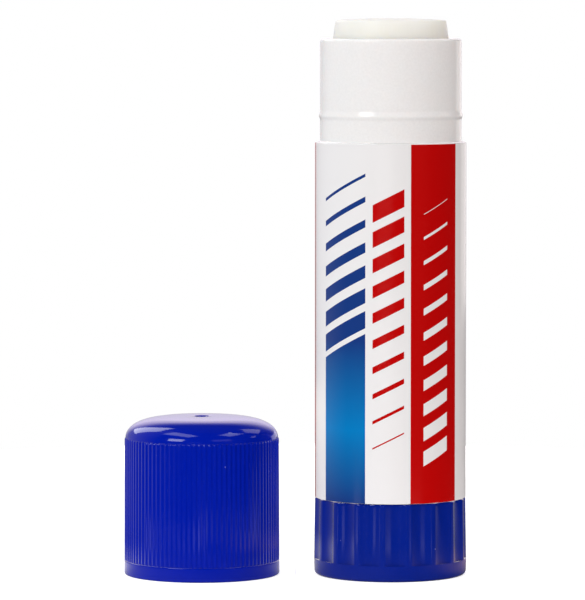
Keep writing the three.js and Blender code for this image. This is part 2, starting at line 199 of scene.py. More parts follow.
class CapSettings(bpy.types.PropertyGroup):
    """Sizes of the cap"""

    radius: length("Radius", "Outer radius of the band at the cap's mouth", half_width("cap"))
    top_radius: length("Top radius", "Radius where the dome ends", half_width("cap") - 0.22 * MM)
    wall: length("Wall", "Thickness of the side wall", 0.92 * MM)
    band_height: length("Band height", "Height of the plain band at the mouth", 2.3 * MM)
    dome_height: length("Dome height", "Height of the dome over the ribs", 3.35 * MM)
    dimple_radius: length("Dimple radius", "Radius of the moulding dimple", 1.4 * MM)
    dimple_depth: length("Dimple depth", "Depth of the moulding dimple", 0.5 * MM)
    rib_count: count("Ribs", "Number of grip ribs", 96)
    rib_depth: length("Rib depth", "Depth of the grooves between the ribs", 0.13 * MM)
    rib_stand: length("Rib stand", "How far the ribs stand out from the dome's edge", 0.14 * MM)


class KnobSettings(bpy.types.PropertyGroup):
    """Sizes of the turning knob"""

    foot_radius: length("Foot radius", "Outer radius of the foot ring", half_width("knob"))
    foot_height: length("Foot height", "Height of the foot ring", 2.6 * MM)
    foot_round: length("Foot round", "Radius of the foot ring's lower edge", 0.7 * MM)
    foot_draft: length("Foot draft", "How much narrower the foot ring is near the table", 0.06 * MM)
    grip_draft: length("Grip draft", "How much narrower the grip is at its top", 0.14 * MM)
    flute_count: count("Flutes", "Number of flutes in the grip", 18)
    flute_depth: length("Flute depth", "Depth of each flute", 0.5 * MM)
    flute_land: length("Flute land", "Width of the lands between the flutes", 0.8 * MM)


class BarrelSettings(bpy.types.PropertyGroup):
    """Sizes of the barrel and its neck"""

    radius: length("Radius", "Outer radius under the label", half_width("barrel"))
    neck_radius: length("Neck radius", "Outer radius of the neck", half_width("barrel") - 0.64 * MM)
    bore_radius: length("Bore radius", "Radius of the bore", half_width("barrel") - 2.04 * MM)
    bead_height: length("Bead height", "Middle of the snap bead, above the shoulder", 4.2 * MM)
    bead_width: length("Bead width", "Width of the snap bead", 1.5 * MM)
    bead_stand: length("Bead stand", "How far the snap bead stands out", 0.18 * MM)


class LabelSettings(bpy.types.PropertyGroup):
    """Sizes and colours of the printed label"""

    radius: length("Radius", "Outer radius of the label", half_width("label"))
    film: length("Film", "Thickness of the film", 0.12 * MM)
    seam: length("Seam", "Gap between the film's two ends", 0.5 * MM)
    white: colour("White", "The film itself", "e8e7e8")
    red: colour("Red", "The wide stripe", "b90000")
    navy: colour("Navy", "The dark blue ink", "17387e")
    blue: colour("Blue", "The bright blue ink", "0078bc")


class GlueSettings(bpy.types.PropertyGroup):
    """Sizes of the column of glue"""

    radius: length("Radius", "Radius of the column in the bore", half_width("glue"))
    tip_radius: length("Tip radius", "Radius at the tip's edge", half_width("glue") - 0.66 * MM)
    taper: length("Taper", "Length of the tapered tip", 4.4 * MM)
    crown: length("Crown", "How far the tip's middle stands over its edge", 0.3 * MM)
    edge: length("Edge", "Radius of the tip's edge", 0.35 * MM)


class FinishSettings(bpy.types.PropertyGroup):
    """Colours of the plastics and the glue"""

    cap_blue: colour("Cap blue", "The cap", "001aa3")
    knob_blue: colour("Knob blue", "The knob", "031f88")
    white_plastic: colour("White plastic", "Barrel", "f1f0f0")
    natural_plastic: colour("Natural plastic", "Spindle and carrier", "e6e3db")
    glue: colour("Glue", "The cast glue", "ebeae6")
    floor: colour("Floor", "The studio floor", "ffffff")


def arc(centre_radius, centre_height, reach, rise, start, end, steps):
    """Points on a stretch of an ellipse in [radius, height], between two angles in degrees."""
    angles = [math.radians(start + (end - start) * i / steps) for i in range(steps + 1)]
    return [(centre_radius + reach * math.cos(a), centre_height + rise * math.sin(a)) for a in angles]


def activate(piece):
    """Makes a piece the one selected and active object."""
    bpy.ops.object.select_all(action="DESELECT")
    piece.select_set(True)
    bpy.context.view_layer.objects.active = piece


def start_chain(name, point):
    """A new piece in edit mode that holds one vertex: a small plane merged at its middle."""
    bpy.ops.object.select_all(action="DESELECT")
    bpy.ops.mesh.primitive_plane_add(size=MM, location=point)
    piece = bpy.context.object
    piece.name = name
    piece.data.name = name
    bpy.ops.object.mode_set(mode="EDIT")
    bpy.ops.mesh.select_all(action="SELECT")
    bpy.ops.mesh.merge(type="CENTER")
    return piece


def close_up(piece):
    """Merges what a spin left double, turns the faces outwards and puts the piece's origin at the scene's."""
    bpy.ops.mesh.select_all(action="SELECT")
    bpy.ops.mesh.remove_doubles(threshold=0.0005 * MM)
    bpy.ops.mesh.normals_make_consistent(inside=False)
    bpy.ops.object.mode_set(mode="OBJECT")
    activate(piece)
    bpy.ops.object.transform_apply(location=True, rotation=True, scale=True)


def turn(name, axis_x, profile, steps):
    """A piece made as on a lathe: its outline is drawn as a chain of edges in [radius, height] and spun."""
    radius, height = profile[0]
    piece = start_chain(name, (axis_x + radius, 0, height))
    for next_radius, next_height in profile[1:]:
        step = (next_radius - radius, 0, next_height - height)
        bpy.ops.mesh.extrude_vertices_move(TRANSFORM_OT_translate={"value": step})
        radius, height = next_radius, next_height
    bpy.ops.mesh.select_all(action="SELECT")
    bpy.ops.mesh.spin(steps=steps, angle=math.tau, center=(axis_x, 0, 0), axis=(0, 0, 1))
    close_up(piece)
    return piece


def places(piece):
    """The places of a piece's vertices, one row each."""
    co = np.empty(len(piece.data.vertices) * 3, np.float32)
    piece.data.vertices.foreach_get("co", co)
    return co.reshape(-1, 3).astype(float)


def select_vertices(piece, chosen):
    """Selects the chosen vertices of a piece and leaves it in edit mode."""
    activate(piece)
    bpy.ops.object.mode_set(mode="EDIT")
    bpy.ops.mesh.select_mode(type="VERT")
    bpy.ops.mesh.select_all(action="DESELECT")
    bpy.ops.object.mode_set(mode="OBJECT")
    piece.data.vertices.foreach_set("select", chosen)
    bpy.ops.object.mode_set(mode="EDIT")


def draw_in(piece, axis_x, repeats, depths, radii, heights):
    """Draws the wall of a turned piece in towards its axis, to flutes, ribs or keys that repeat round it.

    depths lists how far each vertex of one repeat goes in. Only what lies between the two radii and the two
    heights is moved.
    """
    across, along, height = places(piece).T
    radius = np.hypot(across - axis_x, along)
    turns = np.arctan2(along, across - axis_x) / math.tau
    place = np.rint(turns * repeats * len(depths)).astype(int) % len(depths)
    in_wall = (radius > radii[0]) & (radius < radii[1]) & (height > heights[0]) & (height < heights[1])
    for depth in sorted(set(depths) - {0.0}):
        here = in_wall & np.isin(place, [i for i, d in enumerate(depths) if d == depth])
        factor = 1 - depth / radius[here].mean()
        select_vertices(piece, here)
        bpy.ops.transform.resize(value=(factor, factor, 1), center_override=(axis_x, 0, 0))
        bpy.ops.object.mode_set(mode="OBJECT")


def dress(piece, body, node, material, edge_angle):
    """Shades a finished piece, gives it its material, and lets it stand for its CAD node."""
    activate(piece)
    bpy.ops.object.shade_smooth_by_angle(angle=math.radians(edge_angle))
    piece.data.materials.clear()
    piece.data.materials.append(material)
    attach(piece, body)
    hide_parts(node)
    # The photograph joins two shots, so the cap and the stick don't mirror each other.
    piece.visible_glossy = False


def new_material(name):
    """A node material without any nodes."""
    material = bpy.data.materials.new(name)
    material.use_nodes = True
    material.node_tree.nodes.clear()
    return material


def add_node(material, kind, inputs=None, **settings):
    """Adds a node to a material or a world, sets its settings, and links or sets its inputs.

    kind is the node's type without ShaderNode. An input is a value, an output, or a node, which then gives
    the first of its outputs that is in use.
    """
    tree = material.node_tree
    node = tree.nodes.new("ShaderNode" + kind)
    for name, value in settings.items():
        setattr(node, name, value)
    for name, value in (inputs or {}).items():
        if isinstance(value, bpy.types.Node):
            value = next(output for output in value.outputs if output.enabled)
        if isinstance(value, bpy.types.NodeSocket):
            tree.links.new(value, node.inputs[name])
        else:
            node.inputs[name].default_value = value
    return node


def set_stops(ramp, stops):
    """Gives a colour ramp its stops, each of which is a position and a colour."""
    ramp.elements[0].position, ramp.elements[0].color = stops[0]
    ramp.elements[1].position, ramp.elements[1].color = stops[-1]
    for position, shade in stops[1:-1]:
        ramp.elements.new(position).color = shade


def moulded_polypropylene(name, colour_value, roughness, handling, scatter=0.0, dust=0.0):
    """Injection-moulded polypropylene: a steel mould leaves it glossy, with a faint waviness from shrinking.

    scatter is how much light its wax-like body lets in, handling is how unevenly use has dulled it, and dust
    is how many of its specks show, all from 0 to 1.
    """
    material = new_material(name)
    where = add_node(material, "TexCoord").outputs["Object"]
    shrink = add_node(material, "TexNoise", {"Vector": where, "Scale": 1 / (6 * MM), "Detail": 2.0})
    grain = add_node(material, "TexNoise", {"Vector": where, "Scale": 1 / (0.35 * MM), "Detail": 3.0})
    # Handling dulls the gloss in patches a few millimetres across.
    dulling = add_node(material, "TexNoise", {"Vector": where, "Scale": 1 / (4 * MM), "Detail": 5.0})
    gloss = add_node(
        material,
        "MapRange",
        {
            "Value": dulling,
            "From Min": 0.3,
            "From Max": 0.7,
            "To Min": roughness * (1 - handling),
            "To Max": roughness * (1 + handling),
        },
    )
    # Dust and lint show as pale specks about 0.15 mm across, one to a few square millimetres.
    specks = add_node(material, "TexVoronoi", {"Vector": where, "Scale": 1 / (2.2 * MM)})
    near = add_node(material, "Math", {0: specks, 1: 0.05}, operation="LESS_THAN")
    chance = add_node(material, "SeparateColor", {"Color": specks.outputs["Color"]})
    chosen = add_node(material, "Math", {0: chance.outputs["Red"], 1: dust}, operation="LESS_THAN")
    speck = add_node(material, "Math", {0: near, 1: chosen}, operation="MULTIPLY")
    tint = add_node(
        material,
        "Mix",
        {"Factor": grain, 6: colour_value, 7: [c * 0.9 for c in colour_value[:3]] + [1]},
        data_type="RGBA",
    )
    speckled = add_node(material, "Mix", {"Factor": speck, 6: tint, 7: linear("6464b0")}, data_type="RGBA")
    wave = add_node(material, "Bump", {"Height": shrink, "Strength": 0.1, "Distance": 0.1 * MM})
    skin = add_node(
        material, "Bump", {"Height": grain, "Normal": wave, "Strength": 0.05, "Distance": 0.03 * MM}
    )
    shader = add_node(
        material,
        "BsdfPrincipled",
        {
            "Base Color": speckled,
            "Roughness": gloss,
            "IOR": 1.49,
            "Normal": skin,
            "Subsurface Weight": scatter,
            "Subsurface Radius": (1.2, 1.0, 0.9),
            "Subsurface Scale": 1 * MM,
        },
    )
    add_node(material, "OutputMaterial", {"Surface": shader})
    return material


def cast_glue(colour_value):
    """Solid glue cast warm into the stick: a waxy, slightly clear body with a soft, uneven skin."""
    material = new_material("cast_solid_adhesive")
    where = add_node(material, "TexCoord").outputs["Object"]
    streaks = add_node(material, "Mapping", {"Vector": where, "Scale": (1.0, 1.0, 0.1)})
    cloud = add_node(material, "TexNoise", {"Vector": streaks, "Scale": 1 / (3.5 * MM), "Detail": 3.0})
    drag = add_node(material, "TexNoise", {"Vector": streaks, "Scale": 1 / (0.8 * MM), "Detail": 4.0})
    tint = add_node(
        material, "Mix", {"Factor": cloud, 6: colour_value, 7: linear("e7e6dd")}, data_type="RGBA"
    )
    skin = add_node(material, "Bump", {"Height": drag, "Strength": 0.25, "Distance": 0.12 * MM})
    shader = add_node(
        material,
        "BsdfPrincipled",
        {
            "Base Color": tint,
            "Roughness": 0.42,
            "IOR": 1.47,
            "Normal": skin,
            "Subsurface Weight": 0.7,
            "Subsurface Radius": (1.6, 1.4, 1.1),
            "Subsurface Scale": 4 * MM,
        },
    )
    add_node(material, "OutputMaterial", {"Surface": shader})
    return material


PANEL_TOP = 25.6  # upper edge of the label's blue panel, in millimetres

# The label's inks from the lowest up, in millimetres: ink, middle and width across the label, lower and upper
# end, how far these rise for each millimetre across, pitch of the bars, and their share of it at both ends.
PRINT = [
    ("panel", -8.35, 8.15, -9.0, 21.6, 0.5, 4.0, 1.0, 1.0),
    ("panel", -8.35, 8.15, 21.6, 53.2, 0.5, 3.95, 0.86, 0.04),
    ("red", 7.42, 8.95, -1.0, 57.0, 0.0, 4.0, 1.0, 1.0),
    ("red", -17.5, 1.2, -1.0, 57.0, 0.0, 4.0, 1.0, 1.0),
    ("white", 7.42, 4.6, 7.0, 46.6, 0.5, 3.95, 0.62, 0.06),
    ("red", -0.6, 5.0, 9.8, 49.3, 0.5, 3.95, 0.06, 0.72),
]


def printed_film(settings):
    """Gloss-varnished plastic film with flat litho inks: red stripes, a shaded panel and bars that thin out.

    Places on the label are in millimetres: across from the middle of its front, and up from its lower edge.
    """
    material = new_material("varnished_printed_film")
    mapped = add_node(material, "UVMap", uv_map="print")
    circumference = math.tau * settings.radius / MM
    height = (LABEL_TOP - LABEL_LOW) / MM
    spread = add_node(
        material,
        "Mapping",
        {"Vector": mapped, "Location": (-circumference / 2, 0, 0), "Scale": (circumference, height, 1)},
    )
    split = add_node(material, "SeparateXYZ", {"Vector": spread})
    across, up = split.outputs["X"], split.outputs["Y"]

    shade = add_node(material, "MapRange", {"Value": up, "From Min": 0.0, "From Max": PANEL_TOP})
    panel = add_node(material, "ValToRGB", {"Fac": shade})
    set_stops(panel.color_ramp, [(0.0, settings.navy), (0.45, settings.blue), (1.0, settings.navy)])
    inks = {
        "red": settings.red,
        "white": settings.white,
        "panel": panel,
    }

    print_so_far = settings.white
    for ink, middle, width, low, high, rise, pitch, low_share, high_share in PRINT:
        off_middle = add_node(material, "Math", {0: across, 1: middle}, operation="SUBTRACT")
        slanted = add_node(material, "Math", {0: off_middle, 1: -rise, 2: up}, operation="MULTIPLY_ADD")
        bars = add_node(material, "Math", {0: slanted, 1: low}, operation="SUBTRACT")
        bars = add_node(material, "Math", {0: bars, 1: 1 / pitch}, operation="MULTIPLY")
        bars = add_node(material, "Math", {0: bars}, operation="FRACT")
        share = add_node(
            material,
            "MapRange",
            {"Value": slanted, "From Min": low, "From Max": high, "To Min": low_share, "To Max": high_share},
        )
        mask = add_node(material, "Math", {0: bars, 1: share}, operation="LESS_THAN")
        limits = [
            (off_middle, 0.0, width / 2),
            (slanted, (low + high) / 2, (high - low) / 2),
        ]
        for value, centre, reach in limits:
            within = add_node(material, "Math", {0: value, 1: centre, 2: reach}, operation="COMPARE")
            mask = add_node(material, "Math", {0: mask, 1: within}, operation="MULTIPLY")
        print_so_far = add_node(
            material, "Mix", {"Factor": mask, 6: print_so_far, 7: inks[ink]}, data_type="RGBA"
        )
    coat = add_node(material, "BsdfPrincipled", {"Base Color": print_so_far, "Roughness": 0.14, "IOR": 1.5})
    add_node(material, "OutputMaterial", {"Surface": coat})
    return material


class GLUESTICK_OT_cap(bpy.types.Operator):
    """Model the ribbed cap"""

    bl_idname = "glue_stick.cap"
    bl_label = "Cap"

    def execute(self, context):
        cap = context.scene.glue_stick_cap
        samples = 8  # flats to a rib
        rib_top = CAP_TOP - cap.dome_height
        inside = cap.radius - cap.wall
        piece = turn("cap_shell", CAP_X, self.profile(cap, rib_top, inside), cap.rib_count * samples)
        hair = 0.01 * MM
        waves = [(1 - math.cos(math.tau * i / samples)) / 2 for i in range(samples)]
        groove = [round(cap.rib_depth * wave, 9) for wave in waves]
        draw_in(
            piece,
            CAP_X,
            cap.rib_count,
            groove,
            radii=(cap.top_radius + hair, cap.radius),
            heights=(cap.band_height + hair, rib_top - hair),
        )
        finish = context.scene.glue_stick_finish
        material = moulded_polypropylene(
            "moulded_polypropylene_blue_cap", finish.cap_blue, roughness=0.09, handling=0.15, dust=0.2
        )
        dress(piece, "cap", "cap", material, 50)
        return {"FINISHED"}

    def profile(self, cap, rib_top, inside):
        """Down the outside from the dimple's middle, round the mouth and up the inside to the roof."""
        dimple = []
        dimple_floor = 0.35  # the flat part of its radius
        for share in np.linspace(0, 1, 9):
            ease = max((share - dimple_floor) / (1 - dimple_floor), 0)
            fall = cap.dimple_depth * (1 - ease * ease * (3 - 2 * ease))
            dimple.append((cap.dimple_radius * share, CAP_TOP - fall))
        dome = []
        fullness = 4.1  # from 2, where the dome is half an ellipse, up to ever flatter roofs
        flat_shares = [0.2, 0.3, 0.4, 0.5, 0.58]
        turned_shares = [math.sin(math.radians(a)) ** (2 / fullness) for a in range(22, 91, 4)]
        for share in flat_shares + turned_shares:
            fall = cap.dome_height * (1 - math.sqrt(max(1 - share**fullness, 0)))
            dome.append((cap.top_radius * share, CAP_TOP - fall))
        crest = cap.top_radius + cap.rib_stand
        roll = 0.45 * MM
        ribs = [
            *arc(crest - roll, rib_top - 0.35 * MM, roll, roll, 45.8, 0, 6),
            (crest, rib_top - 0.5 * MM),
            (crest + 0.035 * MM, (rib_top + cap.band_height) / 2),
            (crest + 0.07 * MM, cap.band_height + 0.3 * MM),
            (crest + 0.07 * MM, cap.band_height + 0.03 * MM),
        ]
        band = [
            *arc(cap.radius - 0.12 * MM, cap.band_height - 0.12 * MM, 0.12 * MM, 0.12 * MM, 90, 0, 4),
            (cap.radius, cap.band_height - 0.3 * MM),
            (cap.radius, 0.6 * MM),
            *arc(cap.radius - 0.3 * MM, 0.3 * MM, 0.3 * MM, 0.3 * MM, 0, -90, 5),
            *arc(inside + 0.25 * MM, 0.25 * MM, 0.25 * MM, 0.25 * MM, -90, -180, 4),
        ]
        ridge = arc(inside, 3.2 * MM, -0.15 * MM, 0.5 * MM, -90, 90, 8)
        roof = CAP_TOP - 1.6 * MM
        skirt_out = 10.85 * MM
        skirt_in = 10.15 * MM
        skirt_low = 16.77 * MM
        boss = 2.0 * MM
        within = [
            (inside, 1.0 * MM),
            *ridge,
            (inside, rib_top - 1.2 * MM),
            *arc(skirt_out + 0.3 * MM, rib_top - 0.9 * MM, 0.3 * MM, 1.6 * MM, 0, 90, 5),
            (skirt_out, rib_top - 0.2 * MM),
            (skirt_out, skirt_low),
            *arc((skirt_out + skirt_in) / 2, skirt_low, 0.35 * MM, 0.35 * MM, -20, -160, 5),
            (skirt_in, skirt_low),
            (skirt_in, roof - 0.9 * MM),
            *arc(skirt_in - 0.5 * MM, roof - 0.5 * MM, 0.5 * MM, 0.5 * MM, 0, 90, 4),
            (boss, roof),
            (boss - 0.4 * MM, roof - 0.3 * MM),
            (0, roof - 0.3 * MM),
        ]
        return dimple + dome + ribs + band + within


class GLUESTICK_OT_knob(bpy.types.Operator):
    """Model the fluted turning knob"""

    bl_idname = "glue_stick.knob"
    bl_label = "Knob"

    def execute(self, context):
        knob = context.scene.glue_stick_knob
        samples = 20  # flats to a flute
        turned = 3  # how far round the knob happens to stand, in flats
        piece = turn("knob_base", STICK_X, self.profile(knob), knob.flute_count * samples)
        pitch = math.tau * knob.foot_radius / knob.flute_count
        half_flute = (pitch - knob.flute_land) / 2
        bar_radius = (half_flute**2 + knob.flute_depth**2) / (2 * knob.flute_depth)
        depths = []
        for i in range(samples):
            off_middle = abs((i - turned) % samples - samples / 2) * pitch / samples
            depth = math.sqrt(max(bar_radius**2 - off_middle**2, 0)) - (bar_radius - knob.flute_depth)
            depths.append(round(max(depth, 0.0), 9))
        draw_in(
            piece,
            STICK_X,
            knob.flute_count,
            depths,
            radii=(knob.foot_radius - 0.5 * MM, knob.foot_radius - 0.005 * MM),
            heights=(knob.foot_height - 0.1 * MM, COLLAR_TOP),
        )
        finish = context.scene.glue_stick_finish
        material = moulded_polypropylene(
            "moulded_polypropylene_blue_knob", finish.knob_blue, roughness=0.13, handling=0.2, dust=0.3
        )
        dress(piece, "knob", "knob", material, 30)
        return {"FINISHED"}

    def profile(self, knob):
        """From the middle of the underside, out and up the grip, over the collar and down into the cup."""
        foot_low = knob.foot_radius - knob.foot_draft
        foot = foot_low - knob.foot_round
        top_radius = knob.foot_radius - knob.grip_draft
        fluted = knob.foot_radius - 0.01 * MM
        recess = 0.5 * MM
        floor = 2.1 * MM
        collar = 10.44 * MM
        cup = 9.84 * MM
        hub = 5.02 * MM
        socket = 3.52 * MM
        socket_floor = 5.28 * MM
        return [
            (0, recess),
            (foot - 2.75 * MM, recess),
            *arc(foot - 2.2 * MM, 0.3 * MM, 0.3 * MM, 0.3 * MM, 180, 270, 4),
            *arc(foot, knob.foot_round, knob.foot_round, knob.foot_round, -90, 0, 8),
            (foot_low + 0.01 * MM, knob.foot_round + 0.3 * MM),
            (knob.foot_radius - 0.01 * MM, knob.foot_height - 0.3 * MM),
            (knob.foot_radius, knob.foot_height - 0.12 * MM),
            (knob.foot_radius, knob.foot_height),
            (fluted, knob.foot_height - 0.08 * MM),
            (fluted, knob.foot_height + 0.3 * MM),
            (knob.foot_radius - knob.grip_draft / 2, (knob.foot_height + KNOB_TOP) / 2),
            (top_radius, KNOB_TOP - 0.5 * MM),
            (top_radius, KNOB_TOP - 0.2 * MM),
            (top_radius - 0.05 * MM, KNOB_TOP - 0.06 * MM),
            (top_radius - 0.2 * MM, KNOB_TOP),
            (top_radius - 1.0 * MM, KNOB_TOP),
            (collar, KNOB_TOP),
            (collar, COLLAR_TOP - 0.15 * MM),
            (collar - 0.15 * MM, COLLAR_TOP),
            (cup, COLLAR_TOP),
            (cup, floor + 0.4 * MM),
            *arc(cup - 0.4 * MM, floor + 0.4 * MM, 0.4 * MM, 0.4 * MM, 0, -90, 3),
            (hub, floor),
            (hub, COLLAR_TOP),
            (socket, COLLAR_TOP),
            (socket, socket_floor),
            (0, socket_floor),
        ]


class GLUESTICK_OT_barrel(bpy.types.Operator):
    """Model the barrel with its neck and snap bead"""

    bl_idname = "glue_stick.barrel"
    bl_label = "Barrel"

    def execute(self, context):
        barrel = context.scene.glue_stick_barrel
        key_top = NECK_TOP - 5 * MM
        piece = turn("barrel_tube", STICK_X, self.profile(barrel, key_top), BORE_STEPS)
        depths = [KEY_HEIGHT] * 2 + [0.0] * (BORE_STEPS // KEY_COUNT - 3) + [KEY_HEIGHT]
        draw_in(
            piece,
            STICK_X,
            KEY_COUNT,
            depths,
            radii=(barrel.bore_radius - 0.05 * MM, barrel.bore_radius + 0.05 * MM),
            heights=(BARREL_LOW, key_top - 0.1 * MM),
        )
        finish = context.scene.glue_stick_finish
        material = moulded_polypropylene(
            "moulded_polypropylene_white", finish.white_plastic, roughness=0.13, handling=0.06, scatter=0.35
        )
        dress(piece, "barrel", "barrel", material, 40)
        return {"FINISHED"}

    def bead_share(self, share):
        """How far the bead stands out, where 1 is its crest. It rises quickly and leads in slowly on top."""
        crest = -0.05
        if share < crest:
            return math.sin(math.pi / 2 * (share + 0.5) / (crest + 0.5)) ** 2
        lead_in = (0.5 - share) / (0.5 - crest)
        return min(1.0, 1.12 * lead_in) * (1 - 0.12 * (1 - lead_in))

    def profile(self, barrel, key_top):
        """From the hole in the web, down the lower recess, up the outside and down the bore."""
        web_low = BARREL_LOW + 1.0 * MM
        web_top = BARREL_LOW + 2.4 * MM
        hole = 4.2 * MM
        recess = barrel.radius - 1.1 * MM
        bead = SHOULDER + barrel.bead_height
        bead_rows = []
        for share in np.linspace(-0.5, 0.5, 17):
            stand = barrel.bead_stand * self.bead_share(share)
            bead_rows.append((barrel.neck_radius + stand, bead + barrel.bead_width * share))
        return [
            (hole, web_low),
            (recess, web_low),
            (recess, BARREL_LOW),
            (barrel.radius - 0.05 * MM, BARREL_LOW),
            (barrel.radius, BARREL_LOW + 0.05 * MM),
            (barrel.radius, BARREL_LOW + 0.6 * MM),
            (barrel.radius, SHOULDER - 0.6 * MM),
            *arc(barrel.radius - 0.2 * MM, SHOULDER - 0.2 * MM, 0.2 * MM, 0.2 * MM, 0, 90, 6),
            *arc(barrel.neck_radius + 0.2 * MM, SHOULDER + 0.2 * MM, 0.2 * MM, 0.2 * MM, 270, 180, 4),
            (barrel.neck_radius, SHOULDER + 0.6 * MM),
            (barrel.neck_radius, bead - barrel.bead_width / 2 - 0.3 * MM),
            *bead_rows,
            (barrel.neck_radius, bead + barrel.bead_width / 2 + 0.3 * MM),
            (barrel.neck_radius, NECK_TOP - 0.8 * MM),
            *arc(barrel.neck_radius - 0.45 * MM, NECK_TOP - 0.45 * MM, 0.45 * MM, 0.45 * MM, 0, 90, 7),
            (barrel.bore_radius + 0.25 * MM, NECK_TOP),
            *arc(barrel.bore_radius + 0.25 * MM, NECK_TOP - 0.25 * MM, 0.25 * MM, 0.25 * MM, 90, 180, 4),
            (barrel.bore_radius, key_top),
            (barrel.bore_radius, key_top - 0.5 * MM),
            (barrel.bore_radius, web_top),
            (hole, web_top),
            (hole, web_low),
        ]


class GLUESTICK_OT_label(bpy.types.Operator):
    """Wrap the printed label round the barrel"""

    bl_idname = "glue_stick.label"
    bl_label = "Label"

    def execute(self, context):
        label = context.scene.glue_stick_label
        steps = 240
        hair = 0.002 * MM
        half_seam = label.seam / label.radius / 2
        start = math.pi / 2 + half_seam
        radius = label.radius - hair
        first = (STICK_X + radius * math.cos(start), radius * math.sin(start), LABEL_LOW)
        piece = start_chain("label_film", first)
        bpy.ops.mesh.extrude_vertices_move(TRANSFORM_OT_translate={"value": (0, 0, LABEL_TOP - LABEL_LOW)})
        bpy.ops.mesh.select_all(action="SELECT")
        bpy.ops.mesh.spin(steps=steps, angle=math.tau - 2 * half_seam, center=(STICK_X, 0, 0), axis=(0, 0, 1))
        close_up(piece)
        self.face_outwards(piece)
        modifier = piece.modifiers.new("film", "SOLIDIFY")
        modifier.thickness = label.film
        modifier.offset = -1
        bpy.ops.object.modifier_apply(modifier=modifier.name)
        self.map_print(piece)
        dress(piece, "barrel", "label", printed_film(label), 40)
        return {"FINISHED"}

    def face_outwards(self, piece):
        """Turns the open sheet's faces away from the barrel, which an open sheet's normals can't tell."""
        face = piece.data.polygons[0]
        if face.normal.x * (face.center.x - STICK_X) + face.normal.y * face.center.y < 0:
            bpy.ops.object.mode_set(mode="EDIT")
            bpy.ops.mesh.select_all(action="SELECT")
            bpy.ops.mesh.flip_normals()
            bpy.ops.object.mode_set(mode="OBJECT")

    def map_print(self, piece):
        """Gives the label a map that runs once round it from the seam, and once up it."""
        across, along, height = places(piece).T
        turn_share = (np.arctan2(along, across - STICK_X) / math.tau - 0.25) % 1
        height_share = (height - LABEL_LOW) / (LABEL_TOP - LABEL_LOW)
        layer = piece.data.uv_layers.new(name="print")
        corners = np.empty(len(piece.data.loops), np.int32)
        piece.data.loops.foreach_get("vertex_index", corners)
        flat = np.stack([turn_share, height_share], 1)[corners]
        layer.data.foreach_set("uv", flat.astype(np.float32).ravel())


class GLUESTICK_OT_glue(bpy.types.Operator):
    """Model the column of glue"""

    bl_idname = "glue_stick.glue"
    bl_label = "Glue"

    def execute(self, context):
        glue = context.scene.glue_stick_glue
        piece = turn("glue_column", STICK_X, self.profile(glue), BORE_STEPS)
        depths = [KEY_HEIGHT] * 3 + [0.0] * (BORE_STEPS // KEY_COUNT - 5) + [KEY_HEIGHT] * 2
        draw_in(
            piece,
            STICK_X,
            KEY_COUNT,
            depths,
            radii=(glue.radius - 0.05 * MM, glue.radius + 0.05 * MM),
            heights=(GLUE_LOW, NECK_TOP - 0.15 * MM),
        )
        material = cast_glue(context.scene.glue_stick_finish.glue)
        dress(piece, "carrier", "glue", material, 40)
        return {"FINISHED"}

    def profile(self, glue):
        """Up the outside to the tip's middle, and down the hollow round the spindle and the nut."""
        ledge = GLUE_LOW + 6.2 * MM
        edge = GLUE_TOP - glue.crown - glue.edge
        hollow_top = SPINDLE_TOP + 5.3 * MM
        taper = [
            (glue.radius * (1 - share) + glue.tip_radius * share, edge - glue.taper * (1 - share))
            for share in (0.25, 0.5, 0.75)
        ]
        crown_shares = (0.85, 0.7, 0.5, 0.3, 0.0)
        crown = [(glue.tip_radius * share, GLUE_TOP - glue.crown * share**2) for share in crown_shares]
        foot = 8.1 * MM
        round_nut = 5.0 * MM
        round_spindle = 3.4 * MM
        return [
            (round_nut, GLUE_LOW),
            (foot, GLUE_LOW),
            (foot, ledge),
            (glue.radius, ledge),
            (glue.radius, edge - glue.taper - 0.6 * MM),
            (glue.radius - 0.03 * MM, edge - glue.taper),
            *taper,
            *arc(glue.tip_radius - glue.edge, edge, glue.edge, glue.edge, 0, 80, 5),
            *crown,
            (0, hollow_top),
            (round_spindle - 0.2 * MM, hollow_top),
            (round_spindle, hollow_top - 0.2 * MM),
            (round_spindle, ledge),
            (round_nut, ledge),
            (round_nut, GLUE_LOW),
        ]


class GLUESTICK_OT_finish(bpy.types.Operator):
    """Finish the spindle and the carrier"""

    bl_idname = "glue_stick.finish"
    bl_label = "Spindle and carrier"

    def execute(self, context):
        finish = context.scene.glue_stick_finish
        material = moulded_polypropylene(
            "moulded_polypropylene_natural", finish.natural_plastic, roughness=0.4, handling=0.1, scatter=0.3
        )
        for node in ("spindle", "carrier"):
            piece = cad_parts[node]
            piece.data.materials.clear()
            piece.data.materials.append(material)
        return {"FINISHED"}


